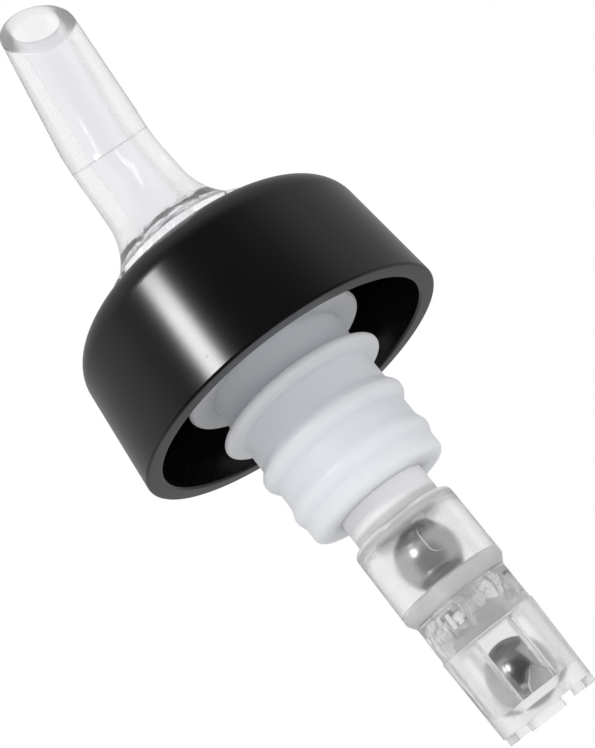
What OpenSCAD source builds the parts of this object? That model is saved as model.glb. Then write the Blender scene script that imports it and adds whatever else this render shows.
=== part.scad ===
// Measured liquor pourer: a bent clear spout, a black collar cup, a finned
// stopper for a bottle neck, and a ball-valve metering unit below it.
// The origin is on the axis, at the middle of the stopper's upper barb.
// The spout bends towards -Y, and +Z points out of the bottle.

/* [Collar] */
// Outer diameter of the collar at its rim
collar_rim_d = 38.4; // [34:0.1:44]
// Outer diameter of the collar below its shoulder
collar_top_d = 36.7; // [33:0.1:42]
// Height of the collar from rim to top
collar_h = 16.4; // [14:0.1:22]
// Radius of the collar's outer shoulder
collar_shoulder_r = 3.8; // [2.5:0.1:6]
// Thickness of the collar's skirt
collar_wall = 2.1; // [1.2:0.1:3]
// Thickness of the collar's roof
collar_roof = 1.9; // [1.2:0.1:3]
// Height of the collar's rim above the upper barb
collar_rim_z = 7; // [5.5:0.1:9]

/* [Spout] */
// Diameter of the flange that sits on the collar
flange_d = 23; // [20:0.1:28]
// Thickness of that flange
flange_t = 1; // [0.8:0.1:2]
// Radius of the sweep between flange and tube
flare_r = 12.8; // [10:0.1:13.5]
// Diameter of the spout at its bend
spout_d = 10.8; // [9:0.1:12]
// Height of the bend point above the collar's top
spout_rise = 20.6; // [20:0.1:30]
// Angle that the spout bends forward
spout_bend = 33; // [15:1:45]
// Radius of the outer bend, on its centre line
spout_bend_r = 9; // [7:0.1:12]
// Length of the bent tube from the bend point to the middle of its mouth
tip_len = 16.6; // [13:0.1:24]
// Diameter of the tube at its mouth
tip_d = 8.7; // [7.6:0.1:10]
// Angle of the cut across the mouth
tip_slant = 34.5; // [0:0.5:50]
// Diameter of the passage in the upright tube
passage_d = 5.6; // [4.6:0.1:6]
// How far the upright passage runs past the bend point
passage_over = 0.7; // [0:0.1:1.5]
// Diameter of the passage in the bent tube
outlet_d = 5.3; // [4:0.1:5.4]
// Diameter of the shank below the collar
shank_d = 12.4; // [11.8:0.1:13.4]
// Length of the shank below the collar's roof
shank_len = 9; // [7:0.1:12]
// Depth of the shank's socket for the stem
shank_socket = 7; // [4:0.1:7]

/* [Stopper] */
// Diameter of the stopper's body
stopper_d = 16.6; // [15.6:0.1:17.2]
// Length of the stopper below the upper barb
stopper_tail = 8.3; // [7.4:0.1:11]
// Radius of the stopper's lower edge
stopper_edge_r = 0.8; // [0.3:0.1:1]
// Diameter of the upper fin
upper_fin_d = 22.5; // [19:0.1:24]
// Diameter of the lower fin
lower_fin_d = 20.4; // [18.6:0.1:22]
// Thickness of the fins
fin_t = 0.9; // [0.7:0.1:1.4]
// Height of the upper fin above the upper barb
upper_fin_z = 11; // [9.5:0.1:12.5]
// Height of the lower fin above the upper barb
lower_fin_z = 5.65; // [4.4:0.05:7]
// Height of the slope under the lower fin
lower_fin_slope = 0.4; // [0.2:0.1:0.8]
// Diameter of the upper barb
upper_barb_d = 18.2; // [17.8:0.05:18.6]
// Length of the upper barb's cylindrical land
upper_barb_land = 0.8; // [0.6:0.1:1.6]
// Diameter of the lower barb
lower_barb_d = 17.4; // [17.3:0.05:17.7]
// Length of the lower barb's cylindrical land
lower_barb_land = 0.5; // [0.4:0.1:1.2]
// Depth of the lower barb below the upper one
barb_pitch = 4.9; // [4:0.1:5.5]
// Length of each sloping side of a barb
barb_ramp = 1; // [0.6:0.1:1.4]

/* [Stem tube] */
// Outer diameter of the stem
stem_d = 10.3; // [9.9:0.1:10.6]
// Bore of the stem, which guides the valve ball
stem_bore = 7.9; // [7.8:0.05:8.1]
// Length of stem that shows below the stopper
stem_show = 3.2; // [1:0.1:6]

/* [Timing chamber] */
// Outer diameter of the chamber
chamber_d = 12.3; // [12:0.1:14]
// Length of the chamber
chamber_len = 9.7; // [9:0.1:13]
// Bore of the chamber around the valve ball
chamber_bore = 8.2; // [8:0.05:8.6]
// Radius of the chamber's upper edge
chamber_edge_r = 0.7; // [0.2:0.1:0.8]
// Width of the bevel on the chamber's lower edge
chamber_bevel = 0.6; // [0.2:0.1:0.7]
// Height of that bevel
chamber_bevel_h = 0.9; // [0.3:0.1:1.2]
// Depth of the socket that takes the stem
stem_socket = 3; // [2:0.1:3.4]
// Depth of the socket that takes the cage's spigot
spigot_len = 1.9; // [1.6:0.1:3.2]
// Diameter of the spigot
spigot_d = 10.5; // [10.4:0.1:10.8]
// Width of the blank raised pad on the chamber's front
pad_w = 2; // [1.4:0.1:3]
// Height of the pad
pad_h = 3.4; // [2.4:0.1:4.5]
// How far the pad stands out
pad_raise = 0.25; // [0.15:0.05:0.5]

/* [Ball cage] */
// Outer diameter of the neck with the liquid ports
neck_d = 11; // [10.8:0.1:11.8]
// Length of the neck
neck_len = 4.3; // [4:0.1:6]
// Outer diameter of the cage below the neck
cage_top_d = 11.3; // [11:0.1:12]
// Outer diameter of the cage at its feet
cage_end_d = 10.7; // [10.5:0.1:11.6]
// Length of the cage from its neck to its feet
cage_len = 10; // [9.5:0.1:13]
// Bore of the cage
cage_bore = 8.3; // [8.2:0.05:8.5]
// Angle of each window in the cage
window_angle = 50; // [42:1:70]
// Height of the windows
window_h = 6.9; // [6.5:0.1:7.2]
// Solid length between the neck and the windows
window_drop = 0.4; // [0.3:0.1:1]
// Diameter of the drain hole in the cage's floor
drain_d = 4.4; // [3:0.1:5]
// Thickness of the cage's floor at its wall
floor_t = 1.8; // [1.2:0.1:2]
// Angle of each foot under the floor
foot_angle = 46; // [35:1:60]
// Angle of the first foot away from the middle of the front window
foot_turn = -11; // [-25:1:25]
// Width of the drop-shaped tab in each window
tab_w = 2.9; // [2:0.1:3.2]
// Height of the tab
tab_h = 2.1; // [2:0.1:3.4]
// Thickness of the tab
tab_t = 0.9; // [0.6:0.1:1]
// How far the tab lies inside the cage's outer wall
tab_inset = 0.1; // [0.05:0.05:0.3]
// Width of each liquid port in the neck
port_w = 2.4; // [1.6:0.1:3]
// Height of each liquid port
port_h = 2.6; // [1.5:0.1:2.8]
// Angle by which the cage is turned away from the spout's plane
cage_turn = -9; // [-30:1:30]
// Angle of each tab away from the middle of its window
tab_turn = 9; // [0:1:12]
// Angle of the first port away from the middle of the front window
port_turn = -25; // [-40:1:-20]

/* [Metering plug] */
// Diameter of the plug's flange
plug_flange_d = 9.5; // [9.3:0.1:9.6]
// Thickness of the plug's flange
plug_flange_t = 0.8; // [0.6:0.1:1]
// Diameter of the plug's waist between its two ends
plug_waist_d = 4.2; // [3.6:0.1:5]
// Length of the plug's lower end, which seats the check ball
plug_foot_len = 1.8; // [1.4:0.1:2]
// Diameter of the metering hole
orifice_d = 1.3; // [0.8:0.1:2]
// Width of the flutes that pass liquid into the chamber
flute_w = 1.6; // [1:0.1:2]
// Depth of the flutes away from the axis
flute_t = 0.7; // [0.4:0.1:0.8]
// Distance from the axis to the flutes
flute_r = 3.2; // [3.1:0.05:3.3]

/* [Balls] */
// Diameter of both steel balls
ball_d = 7.144; // [7:0.01:7.2]
// Diameter of the valve ball's seat at its upper edge
valve_seat_d = 4; // [3.6:0.1:6]
// Diameter of the check ball's seats at their outer edge
check_seat_d = 6; // [5.6:0.1:6.2]

/* [Fits] */
// Radial clearance of each spigot in its socket
fit_gap = 0.03; // [0.01:0.01:0.08]
// Gap between a ball and the seat that it lies against
ball_gap = 0.1; // [0.05:0.01:0.2]

/* [Hidden] */
$fn = 96;
clear_plastic = [0.86, 0.87, 0.90, 0.55];
milky_plastic = [0.88, 0.89, 0.90];
black_plastic = [0.06, 0.06, 0.065];
ball_steel = [0.55, 0.55, 0.56];
over = 0.5; // how far cutters reach past a face
least_edge_r = 0.5; // smallest bevel inside the collar
windows = 3; // windows in the cage, with a rib and a foot between each pair
window_start = 0.4 * cage_bore; // where the window cutters start, inside the bore
gap_start = 0.32 * cage_bore; // where the cutters between the feet start, inside the bore
bend_lap = 0.3; // how far the spout's two tubes run into the bend
bend_swell = 0.02; // how far the bend stands proud of the tubes, so that it encloses their ends

// Levels from the collar's top down to the cage's feet
collar_top_z = collar_rim_z + collar_h;
roof_z = collar_top_z - collar_roof;
shank_end_z = roof_z - shank_len;
valve_stop_z = shank_end_z + shank_socket;
stopper_end_z = -stopper_tail;
chamber_top_z = stopper_end_z - stem_show;
stem_end_z = chamber_top_z - stem_socket;
chamber_end_z = chamber_top_z - chamber_len;
spigot_top_z = chamber_end_z + spigot_len;
neck_end_z = chamber_end_z - neck_len;
window_top_z = neck_end_z - window_drop;
floor_top_z = window_top_z - window_h;
floor_end_z = floor_top_z - floor_t;
feet_z = neck_end_z - cage_len;
plug_end_z = neck_end_z;

// Levels and sizes of the spout
bend_z = collar_top_z + spout_rise;
bend_reach = spout_bend_r * tan(spout_bend / 2);
flare_top_z = collar_top_z + flange_t + flare_r;
spout_r = spout_d / 2;
tip_r = tip_d / 2;
tip_over = tip_r * tan(tip_slant) + 2 * over;
tip_end_len = tip_len + tip_over;
tip_end_r = spout_r - (spout_r - tip_r) * (tip_end_len - bend_reach) / (tip_len - bend_reach);

// Ball heights: a ball of radius r lies in a 45 degree seat, or under a round edge
ball_r = ball_d / 2;
function seat_rise(seat_d) = sqrt(2) * (ball_r + ball_gap) - seat_d / 2;
function edge_rise(edge_d) = sqrt(pow(ball_r + ball_gap, 2) - pow(edge_d / 2, 2));
valve_rest_z = spigot_top_z + seat_rise(valve_seat_d);
valve_shut_z = valve_stop_z - edge_rise(passage_d);
check_rest_z = floor_top_z + seat_rise(check_seat_d);
check_shut_z = plug_end_z - seat_rise(check_seat_d);
echo(valve_rest_z = valve_rest_z, valve_travel = valve_shut_z - valve_rest_z);
echo(check_rest_z = check_rest_z, check_travel = check_shut_z - check_rest_z);

// A ring of rectangular section between two radii and two heights
module ring(inner_d, outer_d, low, high) {
    rotate_extrude()
        translate([inner_d / 2, low])
            square([(outer_d - inner_d) / 2, high - low]);
}

// A straight round cutter along the axis
module bore(d, low, high) {
    translate([0, 0, low])
        cylinder(d = d, h = high - low);
}

// A 45 degree ball seat that opens at height z, upwards or turned to open downwards, as a cutter
module seat_cut(seat_d, z, turn = 0) {
    translate([0, 0, z])
        rotate([turn, 0, 0])
            translate([0, 0, -seat_d / 2])
                cylinder(d1 = 0, d2 = seat_d + 2 * over, h = seat_d / 2 + over);
}

// A wedge about the axis, centred on -Y and blunt where it starts, as a cutter
module wedge(angle, start, reach, low, high) {
    slope = tan(angle / 2);
    translate([0, 0, low])
        linear_extrude(high - low)
            polygon([[-start * slope, -start], [-reach * slope, -reach],
                     [reach * slope, -reach], [start * slope, -start]]);
}

// Places its children in the frame of the bent tube, at its bend point
module at_bend() {
    translate([0, 0, bend_z])
        rotate([spout_bend, 0, 0])
            children();
}

// Outline of the upright spout: shank, flange with its sweep, and tube
module upright_outline() {
    translate([0, shank_end_z])
        square([shank_d / 2, collar_top_z - shank_end_z]);
    difference() {
        translate([0, collar_top_z])
            square([flange_d / 2, flange_t + flare_r]);
        translate([spout_r + flare_r, flare_top_z])
            circle(flare_r);
    }
    translate([0, flare_top_z])
        square([spout_r, bend_z - bend_reach + bend_lap - flare_top_z]);
}

// The round bend between the upright and the bent tube
module elbow() {
    translate([0, -spout_bend_r, bend_z - bend_reach])
        rotate([90, 0, 90])
            rotate_extrude(angle = spout_bend)
                translate([spout_bend_r, 0])
                    circle(spout_r + bend_swell);
}

module spout_outside() {
    rotate_extrude()
        upright_outline();
    elbow();
    at_bend()
        translate([0, 0, bend_reach - bend_lap])
            cylinder(r1 = spout_r, r2 = tip_end_r, h = tip_end_len - bend_reach + bend_lap);
}

// The slanted end of the upright passage, square to the bent tube
module upright_passage() {
    difference() {
        bore(passage_d, valve_stop_z - over, bend_z + passage_d);
        at_bend()
            translate([-passage_d, -passage_d, passage_over])
                cube(2 * passage_d);
    }
}

module spout() {
    color(clear_plastic)
        difference() {
            spout_outside();
            upright_passage();
            at_bend()
                translate([0, 0, -over])
                    cylinder(d = outlet_d, h = tip_end_len + 2 * over);
            at_bend()
                translate([0, 0, tip_len])
                    rotate([tip_slant, 0, 0])
                        translate([-tip_d, -2 * tip_d, 0])
                            cube([2 * tip_d, 4 * tip_d, 2 * tip_d]);
            bore(stem_d + 2 * fit_gap, shank_end_z - over, valve_stop_z);
        }
}

// Outline of the collar's skirt and shoulder
module collar_outline() {
    rim_r = collar_rim_d / 2;
    top_r = collar_top_d / 2;
    shoulder_z = collar_top_z - collar_shoulder_r;
    polygon([[0, collar_rim_z], [rim_r, collar_rim_z], [top_r, shoulder_z], [0, shoulder_z]]);
    translate([0, shoulder_z])
        square([top_r - collar_shoulder_r, collar_shoulder_r]);
    intersection() {
        translate([top_r - collar_shoulder_r, shoulder_z])
            circle(collar_shoulder_r);
        translate([0, shoulder_z])
            square([top_r, collar_shoulder_r]);
    }
}

module collar() {
    inner_rim_r = collar_rim_d / 2 - collar_wall;
    inner_top_r = collar_top_d / 2 - collar_wall;
    inner_edge_r = max(collar_shoulder_r - collar_roof, least_edge_r);
    inner_shoulder_z = roof_z - inner_edge_r;
    color(black_plastic)
        rotate_extrude()
            difference() {
                collar_outline();
                polygon([[0, collar_rim_z - over], [inner_rim_r, collar_rim_z - over],
                         [inner_rim_r, collar_rim_z], [inner_top_r, inner_shoulder_z],
                         [inner_top_r - inner_edge_r, roof_z], [0, roof_z]]);
                translate([0, roof_z - over])
                    square([shank_d / 2 + fit_gap, collar_roof + 2 * over]);
            }
}

// A thin disc with a full round rim
module fin_outline(d, z) {
    translate([0, z - fin_t / 2])
        square([d / 2 - fin_t / 2, fin_t]);
    translate([d / 2 - fin_t / 2, z])
        circle(d = fin_t);
}

// The slope under the lower fin, from the stopper's body to the fin's rim
module fin_slope_outline() {
    fin_low_z = lower_fin_z - fin_t / 2;
    slope_low_z = fin_low_z - lower_fin_slope;
    polygon([[0, slope_low_z], [stopper_d / 2, slope_low_z], [(lower_fin_d - fin_t) / 2, fin_low_z],
             [0, fin_low_z]]);
}

// A ridge with sloping sides and a cylindrical land
module barb_outline(d, land, z) {
    polygon([[0, z - land / 2 - barb_ramp], [stopper_d / 2, z - land / 2 - barb_ramp], [d / 2, z - land / 2],
             [d / 2, z + land / 2], [stopper_d / 2, z + land / 2 + barb_ramp], [0, z + land / 2 + barb_ramp]]);
}

// The stopper's body, with its rounded lower edge
module stopper_body_outline() {
    body_r = stopper_d / 2;
    edge_z = stopper_end_z + stopper_edge_r;
    translate([0, edge_z])
        square([body_r, roof_z - edge_z]);
    translate([0, stopper_end_z])
        square([body_r - stopper_edge_r, stopper_edge_r]);
    translate([body_r - stopper_edge_r, edge_z])
        circle(stopper_edge_r);
}

module stopper() {
    color(milky_plastic)
        rotate_extrude()
            difference() {
                union() {
                    stopper_body_outline();
                    fin_outline(upper_fin_d, upper_fin_z);
                    fin_outline(lower_fin_d, lower_fin_z);
                    fin_slope_outline();
                    barb_outline(upper_barb_d, upper_barb_land, 0);
                    barb_outline(lower_barb_d, lower_barb_land, -barb_pitch);
                }
                translate([-over, stopper_end_z - over])
                    square([over + stem_d / 2 + fit_gap, roof_z - stopper_end_z + 2 * over]);
                translate([0, shank_end_z])
                    square([shank_d / 2 + fit_gap, shank_len + over]);
            }
}

module stem_tube() {
    color(clear_plastic)
        ring(stem_bore, stem_d, stem_end_z, valve_stop_z);
}

// Outline of the chamber with a round upper and a bevelled lower edge
module chamber_outline() {
    outer_r = chamber_d / 2;
    round_z = chamber_top_z - chamber_edge_r;
    polygon([[0, chamber_end_z], [outer_r - chamber_bevel, chamber_end_z],
             [outer_r, chamber_end_z + chamber_bevel_h], [outer_r, round_z], [0, round_z]]);
    translate([0, round_z])
        square([outer_r - chamber_edge_r, chamber_edge_r]);
    intersection() {
        translate([outer_r - chamber_edge_r, round_z])
            circle(chamber_edge_r);
        translate([0, round_z])
            square([outer_r, chamber_edge_r]);
    }
}

// The blank pad, a short stretch of a wider ring with round ends
module pad() {
    pad_z = (chamber_top_z + spigot_top_z) / 2;
    intersection() {
        ring(chamber_d - 2 * pad_raise, chamber_d + 2 * pad_raise, chamber_end_z, chamber_top_z);
        translate([0, 0, pad_z])
            rotate([90, 0, 0])
                linear_extrude(chamber_d) {
                    square([pad_w, pad_h - pad_w], center = true);
                    for (side = [-1, 1])
                        translate([0, side * (pad_h - pad_w) / 2])
                            circle(d = pad_w);
                }
    }
}

module timing_chamber() {
    color(clear_plastic)
        difference() {
            union() {
                rotate_extrude()
                    chamber_outline();
                pad();
            }
            bore(stem_d + 2 * fit_gap, stem_end_z, chamber_top_z + over);
            bore(chamber_bore, chamber_end_z, chamber_top_z);
            bore(spigot_d + 2 * fit_gap, chamber_end_z - over, spigot_top_z);
        }
}

// The cage's outside: spigot, neck and slightly tapered body
module cage_outside() {
    bore(spigot_d, chamber_end_z, spigot_top_z);
    bore(neck_d, neck_end_z, chamber_end_z);
    translate([0, 0, feet_z])
        cylinder(d1 = cage_end_d, d2 = cage_top_d, h = cage_len);
}

// The inside of the cage: plug seat, ball room, ball seat and drain
module cage_inside() {
    bore(plug_flange_d + 2 * fit_gap, spigot_top_z - plug_flange_t, spigot_top_z + over);
    bore(cage_bore, floor_top_z, spigot_top_z);
    seat_cut(check_seat_d, floor_top_z);
    bore(drain_d, feet_z - over, floor_top_z);
    bore(cage_bore, feet_z - over, floor_end_z);
}

// A tab on the floor, drop-shaped with its point up
module tab() {
    outer_d = cage_end_d - 2 * tab_inset;
    drop_z = tab_h - tab_w / sqrt(2);
    intersection() {
        ring(outer_d - 2 * tab_t, outer_d, floor_end_z, window_top_z);
        translate([0, 0, floor_top_z])
            rotate([90, 0, 0])
                linear_extrude(cage_top_d) {
                    translate([-tab_w / 2, -floor_t / 2])
                        square([tab_w, floor_t / 2 + drop_z]);
                    translate([0, drop_z]) {
                        circle(d = tab_w);
                        rotate(45)
                            square(tab_w / 2);
                    }
                }
    }
}

// The cage without its tabs, as it stands when it isn't turned
module cage_shell() {
    ports = 4;
    port_z = (chamber_end_z + neck_end_z) / 2;
    difference() {
        // Each round face has its seam in the middle of the front window
        rotate(-90)
            cage_outside();
        rotate(-90)
            cage_inside();
        for (i = [0 : windows - 1])
            rotate(i * 360 / windows) {
                wedge(window_angle, window_start, cage_top_d, floor_top_z, window_top_z);
                rotate(foot_turn + 180 / windows)
                    wedge(360 / windows - foot_angle, gap_start, cage_top_d, feet_z - over, floor_end_z);
            }
        for (i = [0 : ports - 1])
            rotate(port_turn + i * 360 / ports)
                translate([-port_w / 2, 0, port_z - port_h / 2])
                    cube([port_w, neck_d, port_h]);
    }
}

module ball_cage() {
    color(clear_plastic)
        rotate(cage_turn) {
            cage_shell();
            for (i = [0 : windows - 1])
                rotate(tab_turn + i * 360 / windows)
                    tab();
        }
}

module metering_plug() {
    flutes = 4;
    flange_low_z = spigot_top_z - plug_flange_t;
    foot_top_z = plug_end_z + plug_foot_len;
    color(clear_plastic)
        difference() {
            union() {
                bore(plug_flange_d, flange_low_z, spigot_top_z);
                bore(cage_bore - 2 * fit_gap, chamber_end_z, flange_low_z);
                bore(plug_waist_d, foot_top_z, chamber_end_z);
                bore(cage_bore - 2 * fit_gap, plug_end_z, foot_top_z);
            }
            seat_cut(valve_seat_d, spigot_top_z);
            seat_cut(check_seat_d, plug_end_z, 180);
            bore(orifice_d, plug_end_z - over, spigot_top_z);
            for (i = [0 : flutes - 1])
                rotate(i * 360 / flutes)
                    translate([-flute_w / 2, flute_r, chamber_end_z - over])
                        cube([flute_w, flute_t, spigot_len + 2 * over]);
        }
}

module valve_ball() {
    color(ball_steel)
        translate([0, 0, valve_rest_z])
            sphere(ball_r);
}

module check_ball() {
    color(ball_steel)
        translate([0, 0, check_rest_z])
            sphere(ball_r);
}

spout();
collar();
stopper();
stem_tube();
timing_chamber();
ball_cage();
metering_plug();
valve_ball();
check_ball();
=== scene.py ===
import math

import bpy
from mathutils import Euler, Matrix, Vector


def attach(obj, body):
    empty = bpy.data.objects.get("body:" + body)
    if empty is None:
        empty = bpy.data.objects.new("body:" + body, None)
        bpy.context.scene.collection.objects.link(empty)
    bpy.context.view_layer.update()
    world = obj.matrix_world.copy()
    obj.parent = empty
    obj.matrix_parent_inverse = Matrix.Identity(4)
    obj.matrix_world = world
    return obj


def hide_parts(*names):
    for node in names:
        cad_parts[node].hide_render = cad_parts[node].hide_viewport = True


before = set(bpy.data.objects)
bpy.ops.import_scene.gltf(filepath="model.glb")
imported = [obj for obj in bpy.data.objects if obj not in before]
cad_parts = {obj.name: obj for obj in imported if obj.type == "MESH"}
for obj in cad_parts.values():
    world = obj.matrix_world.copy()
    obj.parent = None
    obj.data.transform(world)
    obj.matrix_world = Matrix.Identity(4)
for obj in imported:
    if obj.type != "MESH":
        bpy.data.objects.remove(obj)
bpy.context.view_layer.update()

# Measured liquor pourer: clear bent spout, black collar cup, milky finned stopper, and a clear metering
# unit with two steel balls. The frame is the CAD model's: +Z points out of the bottle, and the spout
# bends towards -Y. Sizes are in millimetres, which MM turns into metres, and angles are in degrees.
MM = 0.001
UP = Vector((0, 0, 1))
AIR = 0.02  # left where two mouldings touch, so that light sees two surfaces
FIT = 0.03  # left round a spigot in its socket
OVER = 1.0  # how far a cutting tool reaches past a face
TURNS = 144  # facets round a turned piece
MERGE, ON_PLANE = 0.002, 0.001  # how near two points count as one, and a point as in a plane
SMOOTH_ANGLE = 40.0  # faces that meet at less than this are shaded as one
HAZE_FADE = 0.3  # half the height over which the haze of the clear plastic changes


def forward(angle):
    """The direction that leans from the axis towards the front by an angle."""
    return Vector((0, -math.sin(math.radians(angle)), math.cos(math.radians(angle))))


# Collar
COLLAR_RIM_R, COLLAR_TOP_R, COLLAR_H, COLLAR_RIM_Z = 19.2, 18.35, 16.4, 7.0
COLLAR_SHOULDER_R, COLLAR_WALL, COLLAR_ROOF = 3.8, 2.1, 1.9
SKIRT_LEAN = 2.0  # angle at which the shoulder's arc meets the skirt
COLLAR_TOP_Z = COLLAR_RIM_Z + COLLAR_H
ROOF_Z = COLLAR_TOP_Z - COLLAR_ROOF

# Spout
SPOUT_R, ELBOW_R, TIP_R, PASSAGE_R, OUTLET_R = 5.4, 5.25, 4.35, 2.8, 2.65
FLANGE_R, FLANGE_T, FLARE_R = 11.5, 1.0, 12.8
SHANK_R, SHANK_LEN, SHANK_SOCKET = 6.2, 9.0, 7.0
SPOUT_RISE, SPOUT_BEND, BEND_R, TIP_LEN, TIP_SLANT = 20.6, 33.0, 9.0, 16.6, 34.5
MOUTH_INNER_ROUND, MOUTH_OUTER_ROUND = 0.3, 0.5
SHANK_END_Z = ROOF_Z - SHANK_LEN
VALVE_STOP_Z = SHANK_END_Z + SHANK_SOCKET
BEND = Vector((0, 0, COLLAR_TOP_Z + SPOUT_RISE))
BEND_REACH = BEND_R * math.tan(math.radians(SPOUT_BEND / 2))
BEND_START_Z = BEND.z - BEND_REACH
TIP_WAY = forward(SPOUT_BEND)
TIP_END = TIP_LEN + TIP_R * math.tan(math.radians(TIP_SLANT)) + OVER  # before the mouth is cut
MOUTH = BEND + TIP_WAY * TIP_LEN
MOUTH_NORMAL = forward(SPOUT_BEND + TIP_SLANT)
BEND_LINE_LEAN, BEND_LINE_RISE = 0.055, 0.4  # the dark line of painted shade across the bend lies askew, a little above the bend

# Stopper
STOPPER_R, STOPPER_TAIL, STOPPER_EDGE_R = 8.3, 8.3, 0.8
FIN_T, LOWER_FIN_SLOPE, BARB_RAMP = 0.9, 0.4, 1.0
UPPER_FIN_R, UPPER_FIN_Z, LOWER_FIN_R, LOWER_FIN_Z = 11.25, 11.0, 10.2, 5.65
UPPER_BARB_R, UPPER_BARB_LAND, LOWER_BARB_R, LOWER_BARB_LAND, BARB_PITCH = 9.1, 0.8, 8.7, 0.5, 4.9
STOPPER_END_Z = -STOPPER_TAIL
SEAM_NORMAL = Vector((0.628, -0.772, 0))  # square to the plane of the mould seam

# Stem tube and timing chamber
STEM_R, STEM_BORE_R, STEM_SHOW, STEM_SOCKET = 5.15, 3.95, 3.2, 3.0
CHAMBER_R, CHAMBER_BORE_R, CHAMBER_LEN = 6.15, 4.1, 9.7
CHAMBER_EDGE_R, CHAMBER_BEVEL, CHAMBER_BEVEL_H = 0.7, 0.6, 0.9
SPIGOT_R, SPIGOT_LEN = 5.25, 1.9
PAD_W, PAD_H, PAD_RAISE = 2.0, 3.4, 0.25
CHAMBER_TOP_Z = STOPPER_END_Z - STEM_SHOW
STEM_END_Z = CHAMBER_TOP_Z - STEM_SOCKET
CHAMBER_END_Z = CHAMBER_TOP_Z - CHAMBER_LEN
SPIGOT_TOP_Z = CHAMBER_END_Z + SPIGOT_LEN

# Ball cage, turned from the spout's plane, and its tabs, feet and ports from the front window's middle
NECK_R, NECK_LEN = 5.5, 4.3
CAGE_TOP_R, CAGE_END_R, CAGE_BORE_R, CAGE_LEN, CAGE_TURN = 5.65, 5.35, 4.15, 10.0, -9.0
WINDOWS, WINDOW_ANGLE, WINDOW_H, WINDOW_DROP = 3, 50.0, 6.9, 0.4
FLOOR_T, DRAIN_R, FOOT_ANGLE, FOOT_TURN = 1.8, 2.2, 46.0, -11.0
TAB_R, TAB_H, TAB_T, TAB_INSET, TAB_TURN = 1.45, 2.1, 0.9, 0.1, 9.0
PORTS, PORT_W, PORT_H, PORT_TURN = 4, 2.4, 2.6, -25.0
NECK_END_Z = CHAMBER_END_Z - NECK_LEN
WINDOW_TOP_Z = NECK_END_Z - WINDOW_DROP
FLOOR_TOP_Z = WINDOW_TOP_Z - WINDOW_H
FLOOR_END_Z = FLOOR_TOP_Z - FLOOR_T
FEET_Z = NECK_END_Z - CAGE_LEN

# Metering plug and the seats of the two balls
PLUG_FLANGE_R, PLUG_FLANGE_T, PLUG_WAIST_R, PLUG_FOOT_LEN, ORIFICE_R = 4.75, 0.8, 2.1, 1.8, 0.65
FLUTES, FLUTE_W, FLUTE_T, FLUTE_R = 4, 1.6, 0.7, 3.2
VALVE_SEAT_R, CHECK_SEAT_R = 2.0, 3.0
PLUG_LIP_Z = SPIGOT_TOP_Z - PLUG_FLANGE_T

# Camera, for a frame of 595 by 748 pixels, and the directions ahead of it and to its right
CAMERA_PLACE, CAMERA_TURN = Vector((-30.4572, -120.4011, -32.4513)), (112.6526, 36.23, -0.8441)
FOCAL_PX, FRAME_H_PX, SENSOR_H = 1200, 748, 24
CAMERA_EULER = Euler([math.radians(turn) for turn in CAMERA_TURN])
LOOK = CAMERA_EULER.to_matrix() @ -UP
RIGHT = LOOK.cross(UP).normalized()

# How bright the room is to matt surfaces, and its front and back in gloss and through clear plastic
AMBIENT = 0.70
GLOSS_FRONT, GLOSS_BACK = 0.025, 0.42
GLASS_FRONT, GLASS_BACK = 0.32, 1.0
FLAG_TURN, FLAG_SHADE = 75.0, 0.13  # a dark flag on the right, and what it takes off


def arc(centre_r, centre_z, radius, first, last, steps):
    """Points of a round edge in an outline, between two angles."""
    points = []
    for i in range(steps + 1):
        angle = math.radians(first + (last - first) * i / steps)
        points.append((centre_r + radius * math.cos(angle), centre_z + radius * math.sin(angle)))
    return points


def start(name):
    """A new piece in edit mode, as one vertex at the origin."""
    bpy.ops.object.select_all(action="DESELECT")
    bpy.ops.mesh.primitive_plane_add(size=MM)
    piece = bpy.context.object
    piece.name = name
    piece.data.name = name
    bpy.ops.object.mode_set(mode="EDIT")
    bpy.ops.mesh.select_mode(type="VERT")
    bpy.ops.mesh.select_all(action="SELECT")
    bpy.ops.mesh.merge(type="CENTER")
    return piece


def draw(outline):
    """Draws a run of edges through an outline's points, from the one vertex that is selected."""
    here = Vector((0, 0, 0))
    for i, (radius, height) in enumerate(outline):
        there = Vector((radius, 0, height)) * MM
        if i == 0:
            bpy.ops.transform.translate(value=there - here)
        else:
            bpy.ops.mesh.extrude_region_move(TRANSFORM_OT_translate={"value": there - here})
        here = there


def merge_seams():
    """Merges the points that lie on each other in the piece in edit mode."""
    bpy.ops.mesh.select_all(action="SELECT")
    bpy.ops.mesh.remove_doubles(threshold=MERGE * MM)


def spin_round():
    """Turns the outline in edit mode all the way round the axis."""
    bpy.ops.mesh.select_all(action="SELECT")
    bpy.ops.mesh.spin(steps=TURNS, angle=2 * math.pi, center=(0, 0, 0), axis=UP)
    merge_seams()


def close_shell():
    """Merges the seams of the piece in edit mode, turns its faces outwards and leaves edit mode."""
    merge_seams()
    bpy.ops.mesh.normals_make_consistent(inside=False)
    bpy.ops.object.mode_set(mode="OBJECT")


def turned(name, outline):
    """A piece turned on the pourer's axis from an outline of radius and height."""
    piece = start(name)
    draw(outline)
    spin_round()
    close_shell()
    return piece


def ring(name, inner, outer, low, high):
    """A plain tube between two radii and two heights."""
    return turned(name, [(inner, low), (outer, low), (outer, high), (inner, high), (inner, low)])


def only(piece):
    """Makes a piece the one that is selected and active."""
    bpy.ops.object.select_all(action="DESELECT")
    piece.select_set(True)
    bpy.context.view_layer.objects.active = piece


def settle(tool):
    """Puts a tool's place and turn into its mesh."""
    only(tool)
    bpy.ops.object.transform_apply(location=True, rotation=True, scale=True)
    return tool


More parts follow.
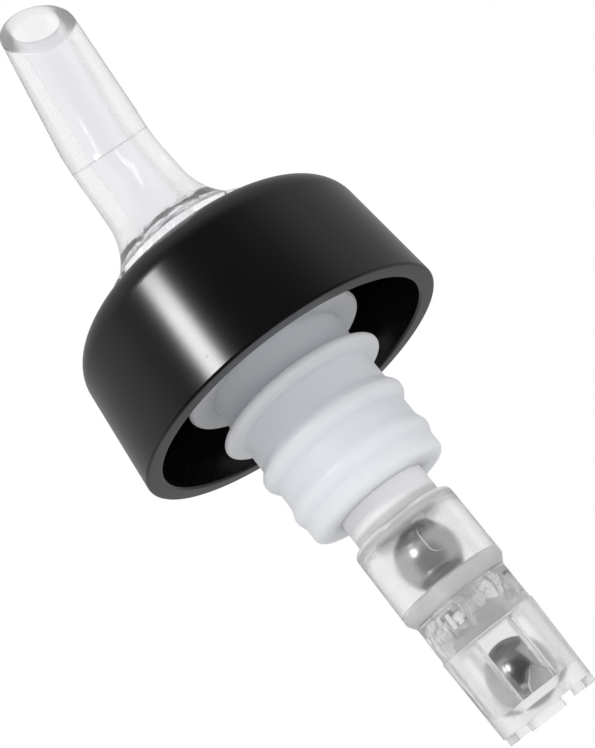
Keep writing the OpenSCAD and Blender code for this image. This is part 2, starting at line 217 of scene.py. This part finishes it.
def bar(size, place, turn=0.0):
    """A box as a tool, from its size and middle, turned about the axis."""
    bpy.ops.object.select_all(action="DESELECT")
    bpy.ops.mesh.primitive_cube_add(size=MM)
    tool = bpy.context.object
    bpy.ops.object.mode_set(mode="EDIT")
    bpy.ops.transform.resize(value=size)
    bpy.ops.transform.translate(value=Vector(place) * MM)
    bpy.ops.object.mode_set(mode="OBJECT")
    tool.rotation_euler.z = math.radians(turn)
    return settle(tool)


def rod(radius, low, high, facets=TURNS):
    """A straight round tool along the axis."""
    bpy.ops.object.select_all(action="DESELECT")
    bpy.ops.mesh.primitive_cylinder_add(vertices=facets, radius=radius * MM, depth=(high - low) * MM,
                                        location=(0, 0, (low + high) / 2 * MM))
    return settle(bpy.context.object)


def wedge(angle, low, high, turn):
    """A three-sided tool about the axis that opens towards -Y and is then turned."""
    reach = 12.0
    half = reach * math.tan(math.radians(angle) / 2)
    tool = start("wedge")
    here = Vector((0, 0, low)) * MM
    bpy.ops.transform.translate(value=here)
    for place in ((-half, -reach, low), (half, -reach, low)):
        there = Vector(place) * MM
        bpy.ops.mesh.extrude_region_move(TRANSFORM_OT_translate={"value": there - here})
        here = there
    bpy.ops.mesh.select_all(action="SELECT")
    bpy.ops.mesh.edge_face_add()
    bpy.ops.mesh.extrude_region_move(TRANSFORM_OT_translate={"value": (0, 0, (high - low) * MM)})
    close_shell()
    tool.rotation_euler.z = math.radians(turn)
    return settle(tool)


def combine(piece, tool, operation):
    """Cuts a tool out of a piece, joins it on or keeps what both share, and removes the tool."""
    only(piece)
    bpy.ops.object.modifier_add(type="BOOLEAN")
    modifier = piece.modifiers[-1]
    modifier.operation = operation
    modifier.solver = "EXACT"
    modifier.object = tool
    bpy.ops.object.modifier_apply(modifier=modifier.name)
    bpy.data.objects.remove(tool, do_unlink=True)


def shade(piece):
    """Shades a piece smooth, with its flat faces kept flat."""
    only(piece)
    bpy.ops.object.shade_smooth_by_angle(angle=math.radians(SMOOTH_ANGLE))
    bpy.ops.object.modifier_add(type="WEIGHTED_NORMAL")
    modifier = piece.modifiers[-1]
    modifier.weight = 100
    modifier.keep_sharp = True
    bpy.ops.object.modifier_apply(modifier=modifier.name)


def soften(piece, width, steps=3, angle=35):
    """Rounds edges that are sharper than an angle, as a mould leaves them, and shades the piece smooth."""
    only(piece)
    bpy.ops.object.modifier_add(type="BEVEL")
    modifier = piece.modifiers[-1]
    modifier.width = width * MM
    modifier.segments = steps
    modifier.limit_method = "ANGLE"
    modifier.angle_limit = math.radians(angle)
    modifier.miter_outer = "MITER_ARC"
    bpy.ops.object.modifier_apply(modifier=modifier.name)
    shade(piece)


def select_plane(piece, point, normal, near=0.0, far=100.0):
    """Selects a piece's edges that lie in a plane, between two distances from its point, in edit mode."""
    bpy.ops.mesh.select_mode(type="EDGE")
    bpy.ops.mesh.select_all(action="DESELECT")
    bpy.ops.object.mode_set(mode="OBJECT")
    found = set()
    for vertex in piece.data.vertices:
        away = vertex.co - point * MM
        if abs(away.dot(normal)) < ON_PLANE * MM and near * MM <= away.length < far * MM:
            found.add(vertex.index)
    for edge in piece.data.edges:
        edge.select = all(i in found for i in edge.vertices)
    bpy.ops.object.mode_set(mode="EDIT")


def draw_tip(piece):
    """Leads the open top of the upright tube round the bend, draws it out and cuts the slanted mouth."""
    bend_start = Vector((0, 0, BEND_START_Z))
    select_plane(piece, bend_start, UP)
    bpy.ops.mesh.spin(steps=12, angle=-math.radians(SPOUT_BEND), axis=(1, 0, 0),
                      center=(bend_start - Vector((0, BEND_R, 0))) * MM)
    taper = (ELBOW_R - TIP_R) / (TIP_LEN - BEND_REACH)
    run = TIP_END - BEND_REACH
    bpy.ops.mesh.extrude_region_move(TRANSFORM_OT_translate={"value": TIP_WAY * run * MM})
    bpy.ops.transform.resize(value=(1 - taper * run / ELBOW_R,) * 3,
                             center_override=(BEND + TIP_WAY * TIP_END) * MM)
    bpy.ops.mesh.edge_face_add()
    bpy.ops.mesh.select_all(action="SELECT")
    bpy.ops.mesh.bisect(plane_co=MOUTH * MM, plane_no=MOUTH_NORMAL, use_fill=True, clear_outer=True)


def bore_spout(piece):
    """Cuts the upright passage, which ends round in the elbow, the tip's outlet and the stem's socket."""
    foot = VALVE_STOP_Z - OVER
    passage = turned("passage", [(0, foot), (PASSAGE_R, foot)] + arc(0, BEND.z, PASSAGE_R, 0, 90, 24))
    outlet = rod(OUTLET_R, 0, TIP_END + OVER)
    outlet.matrix_world = Matrix.Translation(BEND * MM) @ Matrix.Rotation(math.radians(SPOUT_BEND), 4, "X")
    settle(outlet)
    socket = rod(STEM_R + FIT, SHANK_END_Z - OVER, VALVE_STOP_Z + AIR)
    for tool in (passage, outlet, socket):
        combine(piece, tool, "DIFFERENCE")


def round_mouth(piece):
    """Rounds the inner and the outer edge of the spout's slanted mouth."""
    only(piece)
    bpy.ops.object.mode_set(mode="EDIT")
    inner_reach = OUTLET_R / math.cos(math.radians(TIP_SLANT)) + MOUTH_INNER_ROUND
    between = (inner_reach + TIP_R) / 2
    for near, far, width in ((0, between, MOUTH_INNER_ROUND), (between, 2 * TIP_R, MOUTH_OUTER_ROUND)):
        select_plane(piece, MOUTH, MOUTH_NORMAL, near, far)
        bpy.ops.mesh.bevel(offset=width * MM, segments=5, affect="EDGES")
    bpy.ops.object.mode_set(mode="OBJECT")


def make_spout():
    """Shank, flange, flare and upright tube are turned, the tip is drawn out, and the whole is bored."""
    flare_centre_r, flare_top_z = SPOUT_R + FLARE_R, COLLAR_TOP_Z + FLANGE_T + FLARE_R
    flare_foot = 180 + math.degrees(math.acos((flare_centre_r - FLANGE_R) / FLARE_R))
    outline = [(0, SHANK_END_Z + AIR), (SHANK_R, SHANK_END_Z + AIR), (SHANK_R, COLLAR_TOP_Z + AIR)]
    outline += [(FLANGE_R, COLLAR_TOP_Z + AIR)]
    outline += arc(flare_centre_r, flare_top_z, FLARE_R, flare_foot, 180, 20)
    outline += [(ELBOW_R, BEND_START_Z)]
    piece = start("spout_moulding")
    draw(outline)
    spin_round()
    draw_tip(piece)
    close_shell()
    bore_spout(piece)
    round_mouth(piece)
    soften(piece, width=0.22)
    return piece


def make_collar():
    """Tapered cup with a round shoulder, a flat rim and a hole for the spout's shank."""
    shoulder_z = COLLAR_TOP_Z - COLLAR_SHOULDER_R
    inner_r, inner_edge = COLLAR_TOP_R - COLLAR_WALL, COLLAR_SHOULDER_R - COLLAR_ROOF
    outline = [(COLLAR_RIM_R, COLLAR_RIM_Z)]
    outline += arc(COLLAR_TOP_R - COLLAR_SHOULDER_R, shoulder_z, COLLAR_SHOULDER_R, SKIRT_LEAN, 90, 16)
    outline += [(SHANK_R + FIT, COLLAR_TOP_Z), (SHANK_R + FIT, ROOF_Z)]
    outline += arc(inner_r - inner_edge, ROOF_Z - inner_edge, inner_edge, 90, 0, 8)
    outline += [(COLLAR_RIM_R - COLLAR_WALL, COLLAR_RIM_Z), (COLLAR_RIM_R, COLLAR_RIM_Z)]
    piece = turned("collar_cup", outline)
    soften(piece, width=0.3)
    return piece


def fin(radius, height, slope=0.0):
    """A fin with a full round rim, as the part of the stopper's outline from its under side to its top."""
    half = FIN_T / 2
    outline = [(STOPPER_R, height - half - slope)]
    outline += arc(radius - half, height, half, -90, 90, 12)
    return outline + [(STOPPER_R, height + half)]


def barb(radius, height, land):
    """A low ridge with sloping sides, as the part of the stopper's outline from below to above."""
    half = land / 2
    return [(STOPPER_R, height - half - BARB_RAMP), (radius, height - half), (radius, height + half),
            (STOPPER_R, height + half + BARB_RAMP)]


def make_stopper():
    """Hollow cork with two low barbs and two wide fins."""
    edge = STOPPER_EDGE_R
    outline = [(STEM_R + FIT, STOPPER_END_Z)]
    outline += arc(STOPPER_R - edge, STOPPER_END_Z + edge, edge, -90, 0, 8)
    outline += barb(LOWER_BARB_R, -BARB_PITCH, LOWER_BARB_LAND) + barb(UPPER_BARB_R, 0, UPPER_BARB_LAND)
    outline += fin(LOWER_FIN_R, LOWER_FIN_Z, LOWER_FIN_SLOPE) + fin(UPPER_FIN_R, UPPER_FIN_Z)
    outline += [(STOPPER_R, ROOF_Z - AIR), (SHANK_R + FIT, ROOF_Z - AIR), (SHANK_R + FIT, SHANK_END_Z)]
    outline += [(STEM_R + FIT, SHANK_END_Z), (STEM_R + FIT, STOPPER_END_Z)]
    piece = turned("stopper_cork", outline)
    soften(piece, width=0.3, angle=20)
    return piece


def make_stem_tube():
    """Straight tube in which the valve ball runs, as far as the chamber, whose wall goes on from there."""
    piece = ring("stem_pipe", STEM_BORE_R, STEM_R, CHAMBER_TOP_Z + AIR, VALVE_STOP_Z - AIR)
    soften(piece, width=0.03)
    return piece


def make_pad():
    """The blank pad in front of the chamber: a slot-shaped stud, cut to the curve of the wall."""
    middle = (CHAMBER_TOP_Z + SPIGOT_TOP_Z) / 2
    deep, straight = 2.0, PAD_H - PAD_W
    pad = bar((PAD_W, deep, straight), (0, -CHAMBER_R, middle))
    for height in (middle - straight / 2, middle + straight / 2):
        end = rod(PAD_W / 2, -deep / 2, deep / 2, facets=48)
        end.location = Vector((0, -CHAMBER_R, height)) * MM
        end.rotation_euler.x = math.radians(90)
        combine(pad, settle(end), "UNION")
    shell = ring("pad_shell", CHAMBER_R - PAD_RAISE, CHAMBER_R + PAD_RAISE, CHAMBER_END_Z, CHAMBER_TOP_Z)
    combine(pad, shell, "INTERSECT")
    return pad


def make_timing_chamber():
    """Sleeve with a round upper edge, a bevelled lower edge, a socket for the cage, and a blank pad."""
    edge, end = CHAMBER_EDGE_R, CHAMBER_END_Z + AIR
    outline = [(SPIGOT_R + FIT, end), (CHAMBER_R - CHAMBER_BEVEL, end)]
    outline += [(CHAMBER_R, CHAMBER_END_Z + CHAMBER_BEVEL_H)]
    outline += arc(CHAMBER_R - edge, CHAMBER_TOP_Z - edge, edge, 0, 90, 8)
    outline += [(STEM_BORE_R, CHAMBER_TOP_Z), (CHAMBER_BORE_R, STEM_END_Z)]
    outline += [(CHAMBER_BORE_R, SPIGOT_TOP_Z + AIR), (SPIGOT_R + FIT, SPIGOT_TOP_Z + AIR)]
    outline += [(SPIGOT_R + FIT, end)]
    piece = turned("chamber_sleeve", outline)
    combine(piece, make_pad(), "UNION")
    soften(piece, width=0.12)
    return piece


def make_tab(turn):
    """A tab on the cage's floor, drop-shaped with its point up."""
    deep, sunk = 3.0, 0.75
    drop_z = TAB_H - TAB_R * math.sqrt(2)
    outline = [(TAB_R, -sunk)] + arc(0, drop_z, TAB_R, 0, 45, 8) + [(0, TAB_H)]
    outline += arc(0, drop_z, TAB_R, 135, 180, 8) + [(-TAB_R, -sunk)]
    tab = start("tab")
    draw(outline)
    bpy.ops.mesh.select_all(action="SELECT")
    bpy.ops.mesh.edge_face_add()
    bpy.ops.mesh.extrude_region_move(TRANSFORM_OT_translate={"value": (0, deep * MM, 0)})
    bpy.ops.mesh.select_all(action="SELECT")
    bpy.ops.transform.translate(value=Vector((0, -CAGE_END_R - deep / 2, FLOOR_TOP_Z)) * MM)
    close_shell()
    front = CAGE_END_R - TAB_INSET
    combine(tab, ring("tab_shell", front - TAB_T, front, FLOOR_END_Z, WINDOW_TOP_Z), "INTERSECT")
    tab.rotation_euler.z = math.radians(turn)
    return settle(tab)


def make_ball_cage():
    """Spigot, neck with its ports, and a cage with windows, a drained floor, and as many feet and tabs."""
    flange_r = PLUG_FLANGE_R + FIT
    outline = [(flange_r, SPIGOT_TOP_Z), (SPIGOT_R, SPIGOT_TOP_Z), (SPIGOT_R, CHAMBER_END_Z)]
    outline += [(NECK_R, CHAMBER_END_Z), (NECK_R, NECK_END_Z), (CAGE_TOP_R, NECK_END_Z)]
    outline += [(CAGE_END_R, FEET_Z), (CAGE_BORE_R, FEET_Z), (CAGE_BORE_R, FLOOR_END_Z)]
    outline += [(DRAIN_R, FLOOR_END_Z)]
    outline += [(DRAIN_R, FLOOR_TOP_Z - CHECK_SEAT_R + DRAIN_R), (CHECK_SEAT_R, FLOOR_TOP_Z)]
    outline += [(CAGE_BORE_R, FLOOR_TOP_Z), (CAGE_BORE_R, PLUG_LIP_Z), (flange_r, PLUG_LIP_Z)]
    outline += [(flange_r, SPIGOT_TOP_Z)]
    piece = turned("ball_cage_moulding", outline)
    pitch = 360 / WINDOWS
    for i in range(WINDOWS):
        turn = CAGE_TURN + pitch * i
        combine(piece, wedge(WINDOW_ANGLE, FLOOR_TOP_Z, WINDOW_TOP_Z, turn), "DIFFERENCE")
        turn += FOOT_TURN + pitch / 2
        combine(piece, wedge(pitch - FOOT_ANGLE, FEET_Z - OVER, FLOOR_END_Z, turn), "DIFFERENCE")
    inside, outside = 1.5, 7.5
    port_size = (PORT_W, outside - inside, PORT_H)
    port_place = (0, (inside + outside) / 2, (CHAMBER_END_Z + NECK_END_Z) / 2)
    for i in range(PORTS):
        turn = CAGE_TURN + PORT_TURN + 360 / PORTS * i
        combine(piece, bar(port_size, port_place, turn), "DIFFERENCE")
    for i in range(WINDOWS):
        combine(piece, make_tab(CAGE_TURN + TAB_TURN + pitch * i), "UNION")
    shade(piece)
    return piece


def make_metering_plug():
    """Spool with a ball seat at each end, a metering hole, and flutes beside the upper seat."""
    lip, top = PLUG_LIP_Z + AIR, SPIGOT_TOP_Z - AIR
    body, foot_top = CAGE_BORE_R - FIT, NECK_END_Z + PLUG_FOOT_LEN
    seat_end = (ORIFICE_R, NECK_END_Z + CHECK_SEAT_R - ORIFICE_R)
    outline = [seat_end, (CHECK_SEAT_R, NECK_END_Z), (body, NECK_END_Z), (body, foot_top)]
    outline += [(PLUG_WAIST_R, foot_top), (PLUG_WAIST_R, CHAMBER_END_Z), (body, CHAMBER_END_Z)]
    outline += [(body, lip), (PLUG_FLANGE_R, lip), (PLUG_FLANGE_R, top), (VALVE_SEAT_R, top)]
    outline += [(ORIFICE_R, top - VALVE_SEAT_R + ORIFICE_R), seat_end]
    piece = turned("metering_spool", outline)
    flute_size = (FLUTE_W, FLUTE_T, SPIGOT_LEN + OVER)
    flute_place = (0, FLUTE_R + FLUTE_T / 2, (SPIGOT_TOP_Z + CHAMBER_END_Z) / 2)
    for i in range(FLUTES):
        combine(piece, bar(flute_size, flute_place, 360 / FLUTES * i), "DIFFERENCE")
    soften(piece, width=0.1, steps=2)
    return piece


def socket_names(values):
    """Values under the names of their sockets, which have spaces where the keywords have underscores."""
    return {name.replace("_", " "): value for name, value in values.items()}


class Shade:
    """A socket in a node tree. Arithmetic on it adds Math nodes, and node adds any other node."""

    def __init__(self, tree, socket=None):
        self.tree = tree
        self.socket = socket

    def node(self, kind, settings=None, values=None, output=0):
        """Adds a node: its settings first, then the values or links of its sockets."""
        made = self.tree.nodes.new(kind)
        for key, value in (settings or {}).items():
            if key == "stops":
                ramp = made.color_ramp.elements
                while len(ramp) < len(value):
                    ramp.new(0.5)
                for stop, (place, tone) in zip(ramp, value):
                    stop.position = place
                    stop.color = (tone, tone, tone, 1)
            else:
                setattr(made, key, value)
        for key, value in (values or {}).items():
            self.feed(made.inputs[key], value)
        return Shade(self.tree, made.outputs[output])

    def feed(self, socket, value):
        """Links a shade to a socket, or sets the socket to a plain value."""
        if isinstance(value, Shade):
            self.tree.links.new(value.socket, socket)
        else:
            socket.default_value = value

    def maths(self, operation, first, second):
        """Adds a Math node."""
        return self.node("ShaderNodeMath", {"operation": operation}, {0: first, 1: second})

    def __add__(self, other):
        return self.maths("ADD", self, other)

    def __radd__(self, other):
        return self.maths("ADD", other, self)

    def __sub__(self, other):
        return self.maths("SUBTRACT", self, other)

    def __rsub__(self, other):
        return self.maths("SUBTRACT", other, self)

    def __mul__(self, other):
        return self.maths("MULTIPLY", self, other)

    def __rmul__(self, other):
        return self.maths("MULTIPLY", other, self)

    def vector_maths(self, operation, other=(0, 0, 0), output=0):
        """Adds a Vector Math node. Its output 1 is the one for plain numbers."""
        return self.node("ShaderNodeVectorMath", {"operation": operation}, {0: self, 1: other}, output)

    def along(self, direction):
        """How far this place or vector reaches along a direction."""
        return self.vector_maths("DOT_PRODUCT", direction, output=1)

    def from_axis(self):
        """How far this place lies from the pourer's axis."""
        return self.vector_maths("MULTIPLY", (1, 1, 0)).vector_maths("LENGTH", output=1)

    def fade(self, first, last, low, high):
        """This value taken smoothly from low, at first, to high, at last."""
        values = {"Value": self, "From Min": first, "From Max": last, "To Min": low, "To Max": high}
        return self.node("ShaderNodeMapRange", {"interpolation_type": "SMOOTHSTEP"}, values)

    def rise(self, first, last):
        """0 at a first distance in millimetres and 1 at a last one. Either may be the larger."""
        if first > last:
            return self.fade(last * MM, first * MM, 1, 0)
        return self.fade(first * MM, last * MM, 0, 1)

    def near(self, reach):
        """1 where this distance is nought, fading to 0 at a reach in millimetres on each side."""
        return (self * self).fade(0, (reach * MM) ** 2, 1, 0)

    def blend(self, low, high):
        """A colour between two colours, mixed by this value."""
        return self.node("ShaderNodeMix", {"data_type": "RGBA"}, {0: self, 6: low, 7: high}, output=2)

    def ramp(self, *stops):
        """This value taken through a ramp of grey stops."""
        return self.node("ShaderNodeValToRGB", {"stops": stops}, {0: self})

    def noise(self, scale, detail=2.0, stretch=(1, 1, 1)):
        """Noise at so many grains a metre on these coordinates, stretched along the axes."""
        place = self.node("ShaderNodeMapping", None, {"Vector": self, "Scale": stretch})
        return self.node("ShaderNodeTexNoise", None, {"Vector": place, "Scale": scale, "Detail": detail})


class Finish:
    """A material for one of the pourer's pieces, with its main shader and its Object coordinates."""

    def __init__(self, name):
        self.material = bpy.data.materials.new(name)
        self.material.use_nodes = True
        self.tree = self.material.node_tree
        self.shader = self.tree.nodes["Principled BSDF"]
        self.place = Shade(self.tree).node("ShaderNodeTexCoord", output=3)

    def set(self, **values):
        """Sets or links sockets of the main shader."""
        for name, value in socket_names(values).items():
            self.place.feed(self.shader.inputs[name], value)

    def bump(self, height, strength, depth):
        """Raises the surface a little by a height pattern, depth in millimetres."""
        values = {"Height": height, "Strength": strength, "Distance": depth * MM}
        normal = self.place.node("ShaderNodeBump", None, values)
        self.set(Normal=normal)
        return normal

    def cloud(self, share, **values):
        """Mixes a share of white scatter, with values of its own, into the main shader."""
        scatter = self.place.node("ShaderNodeBsdfPrincipled", None, socket_names(values))
        main = Shade(self.tree, self.shader.outputs[0])
        mixed = self.place.node("ShaderNodeMixShader", None, {0: share, 1: main, 2: scatter})
        self.place.feed(self.tree.nodes["Material Output"].inputs["Surface"], mixed)


def clear_plastic():
    """Clear moulded plastic, faintly violet, with flow lines along the tube, wilder ones in the flare, a
    fine dark line of painted shade in front where the tube bends, and a frosted mouth whose face is greyed
    a little as painted shade."""
    finish = Finish("clear_plastic")
    flow = finish.place.noise(520, 3, (1, 1, 0.18))
    peel = finish.place.noise(1500, 2)
    above_collar = finish.place.along(UP) - COLLAR_TOP_Z * MM
    in_flare = above_collar.rise(-3.4, -0.4) * above_collar.rise(9.6, 1.6)
    swirl = finish.place.noise(400, 2, (1, 1, 0.6)) * in_flare
    # Painted shade: a thin dark grey line in the colour across the front of the tube, just above the bend,
    # where a sharp crease would look dark
    line_normal = TIP_WAY - Vector((BEND_LINE_LEAN, 0, 0))
    off_line = finish.place.along(line_normal) - (BEND.dot(TIP_WAY) + BEND_LINE_RISE) * MM
    bend_shade = off_line.near(0.14) * finish.place.from_axis().rise(3.6, 4.2)
    bend_shade = bend_shade * finish.place.along((0, -1, 0)).rise(-1, 1)
    below_mouth = MOUTH.dot(MOUTH_NORMAL) * MM - finish.place.along(MOUTH_NORMAL)
    frost_and_mouth_shade = 0.7 * below_mouth.rise(0.4, 0.1)
    body = flow.blend((0.975, 0.972, 0.985, 1), (0.945, 0.940, 0.958, 1))
    # Painted shade: the bend line, and more faintly the frosted mouth face, are mixed towards grey; the
    # frost's roughness is real
    body = (bend_shade + 0.25 * frost_and_mouth_shade).blend(body, (0.60, 0.60, 0.62, 1))
    finish.set(Base_Color=body, Roughness=0.09 + 0.06 * peel + frost_and_mouth_shade, IOR=1.49, Transmission_Weight=0.98)
    finish.bump(flow + 0.3 * peel + 90 * swirl, strength=0.25, depth=0.02)
    return finish.material


def hazy_plastic(name, haze, *changes):
    """The same plastic in the parts below the stopper, which are less polished. Its haze changes at given
    heights, each with the haze above it, and the neck has coarse flow marks."""
    finish = Finish(name)
    flow = finish.place.noise(420, 3, (1, 1, 0.25))
    peel = finish.place.noise(1100, 3)
    height = finish.place.along(UP)
    share = haze + 0.04 * (flow - 0.5)
    for level, after in changes:
        share = share + (after - haze) * height.rise(level - HAZE_FADE, level + HAZE_FADE)
        haze = after
    body = flow.blend((0.994, 0.991, 1.0, 1), (0.978, 0.974, 0.986, 1))
    finish.set(Base_Color=body, Roughness=0.14 + 0.12 * peel, IOR=1.49, Transmission_Weight=1.0)
    in_neck = height.rise(NECK_END_Z - 0.2, NECK_END_Z + 0.4)
    in_neck = in_neck * height.rise(CHAMBER_END_Z, CHAMBER_END_Z - 0.4)
    swirl = finish.place.noise(700, 2) * in_neck
    normal = finish.bump(flow + 0.5 * peel + 65 * swirl, strength=0.3, depth=0.03)
    finish.cloud(share, Base_Color=body, Roughness=0.3, IOR=1.49, Normal=normal)
    return finish.material


def milky_plastic():
    """Milky soft plastic that lets light through, with a satin skin, faint clouding and a mould seam."""
    finish = Finish("milky_plastic")
    cloud = finish.place.noise(180, 3)
    grain = finish.place.noise(2600, 2)
    seam = finish.place.along(SEAM_NORMAL).near(0.16)
    body = cloud.blend((0.76, 0.785, 0.84, 1), (0.81, 0.83, 0.875, 1))
    finish.set(Base_Color=body, Roughness=0.36 + 0.14 * grain, IOR=1.5, Subsurface_Weight=1.0)
    finish.set(Subsurface_Radius=(1.0, 1.0, 1.0), Subsurface_Scale=5 * MM)
    finish.bump(grain + 0.6 * cloud + 5 * seam, strength=0.12, depth=0.02)
    return finish.material


def black_plastic():
    """Black gloss plastic with a faint orange-peel skin, fine dust marks and rubbed patches."""
    finish = Finish("black_plastic")
    peel = finish.place.noise(700, 2)
    rub = finish.place.noise(90, 4)
    speck = finish.place.noise(3800, 1).ramp((0.70, 0.0), (0.78, 1.0))
    body = (0.35 * rub + 0.25 * speck).blend((0.0035, 0.0035, 0.004, 1), (0.010, 0.010, 0.011, 1))
    finish.set(Base_Color=body, Roughness=0.18 + 0.07 * rub + 0.05 * speck, IOR=1.6)
    finish.bump(peel, strength=0.08, depth=0.02)
    return finish.material


def ball_steel():
    """Polished steel with a faint haze and fine turning marks."""
    finish = Finish("ball_steel")
    haze = finish.place.noise(600, 4)
    marks = finish.place.noise(900, 2, (1, 1, 8))
    body = haze.blend((0.40, 0.39, 0.385, 1), (0.60, 0.59, 0.585, 1))
    finish.set(Base_Color=body, Metallic=0.95 - 0.15 * haze, Roughness=0.17 + 0.12 * haze + 0.04 * marks)
    finish.bump(marks, strength=0.05, depth=0.01)
    return finish.material


def floor_paper():
    """Pale matt paper with a faint fibre."""
    finish = Finish("floor_paper")
    fibre = finish.place.noise(300, 2)
    body = fibre.blend((0.86, 0.86, 0.86, 1), (0.90, 0.90, 0.90, 1))
    finish.set(Base_Color=body, Roughness=0.8 + 0.1 * fibre)
    return finish.material


def dress(piece, node, material):
    """Puts a moulding in the place of its CAD node, with its finish."""
    piece.data.materials.clear()
    piece.data.materials.append(material)
    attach(piece, "pourer")
    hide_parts(node)


def make_camera():
    """Below the collar's rim, in front and a little to the left, looking up and turned on its side."""
    bpy.ops.object.camera_add(location=CAMERA_PLACE * MM, rotation=CAMERA_EULER)
    camera = bpy.context.object
    camera.data.sensor_fit = "VERTICAL"
    camera.data.sensor_height = SENSOR_H
    camera.data.lens = SENSOR_H * FOCAL_PX / FRAME_H_PX
    camera.data.clip_start = 5 * MM
    bpy.context.scene.camera = camera


def make_lamp(name, place, aim, size, power):
    """A soft rectangular lamp that looks at a point of the pourer."""
    bpy.ops.object.light_add(type="AREA", location=Vector(place) * MM)
    lamp = bpy.context.object
    lamp.name = name
    lamp.data.shape = "RECTANGLE"
    lamp.data.size, lamp.data.size_y = size[0] * MM, size[1] * MM
    lamp.data.energy = power
    way = (Vector(aim) - Vector(place)).normalized()
    lamp.rotation_euler = way.to_track_quat("-Z", "Y").to_euler()
    return lamp


def make_room():
    """White room: white to the camera, pale behind the pourer in glass and gloss, dim in front of it, and
    a little darker on the right."""
    world = bpy.data.worlds.new("studio")
    bpy.context.scene.world = world
    world.use_nodes = True
    world.cycles.sampling_method = "NONE"
    way = Shade(world.node_tree).node("ShaderNodeTexCoord", output=0)
    ahead = way.along(LOOK)
    to_flag = LOOK * math.cos(math.radians(FLAG_TURN)) + RIGHT * math.sin(math.radians(FLAG_TURN))
    flag = way.along(to_flag).fade(0.72, 0.96, 0, FLAG_SHADE)
    in_gloss = ahead.fade(-0.6, 0.1, GLOSS_FRONT, GLOSS_BACK)
    in_glass = ahead.fade(-0.85, -0.4, GLASS_FRONT, GLASS_BACK) - flag
    camera_ray = way.node("ShaderNodeLightPath", output=0)
    gloss_ray = way.node("ShaderNodeLightPath", output=3)
    glass_ray = way.node("ShaderNodeLightPath", output=6)
    level = AMBIENT + gloss_ray * (in_gloss - AMBIENT)
    level = level + glass_ray * (in_glass - level)
    level = level + camera_ray * (1 - level)
    grey = level.node("ShaderNodeCombineColor", None, {0: level, 1: level, 2: level})
    back = world.node_tree.nodes["Background"]
    way.feed(back.inputs["Color"], grey)
    back.inputs["Strength"].default_value = 1.0


def make_floor():
    """Pale floor some way below the pourer, which is held in a bottle and not stood down."""
    reach, drop = 600, 100
    bpy.ops.mesh.primitive_circle_add(vertices=96, radius=reach * MM, fill_type="NGON",
                                      location=(0, 0, -drop * MM))
    floor = bpy.context.object
    floor.name = "floor"
    floor.visible_glossy = False
    floor.visible_transmission = False
    floor.data.materials.append(floor_paper())


make_camera()
make_room()
make_floor()
make_lamp("key_softbox", place=(-231, -225, 180), aim=(-9, -16, 13), size=(72, 75), power=0.40)
fill = make_lamp("low_fill", place=(60, -140, -90), aim=(0, 0, 0), size=(200, 120), power=0.10)
fill.visible_glossy = False
fill.visible_transmission = False

clear = clear_plastic()
chamber_haze = hazy_plastic("chamber_plastic", 0.34, (SPIGOT_TOP_Z - 0.1, 0.03),
                            (CHAMBER_TOP_Z - 1.3, 0.34))
cage_haze = hazy_plastic("cage_plastic", 0.12, (NECK_END_Z - 0.1, 0.17), (CHAMBER_END_Z - 0.1, 0.2))
stem_haze = hazy_plastic("stem_plastic", 0.55, (CHAMBER_TOP_Z + 0.9, 0.88))
plug_haze = hazy_plastic("plug_plastic", 0.35, (NECK_END_Z + PLUG_FOOT_LEN + 0.1, 0.10))

dress(make_spout(), "spout", clear)
dress(make_collar(), "collar", black_plastic())
dress(make_stopper(), "stopper", milky_plastic())
dress(make_stem_tube(), "stem_tube", stem_haze)
dress(make_timing_chamber(), "timing_chamber", chamber_haze)
dress(make_ball_cage(), "ball_cage", cage_haze)
dress(make_metering_plug(), "metering_plug", plug_haze)
steel = ball_steel()
for ball in ("valve_ball", "check_ball"):
    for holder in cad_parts[ball].material_slots:
        holder.material = steel

scene = bpy.context.scene
scene.view_settings.view_transform = "Standard"
scene.cycles.max_bounces = 32
scene.cycles.glossy_bounces = 24
scene.cycles.transmission_bounces = 32
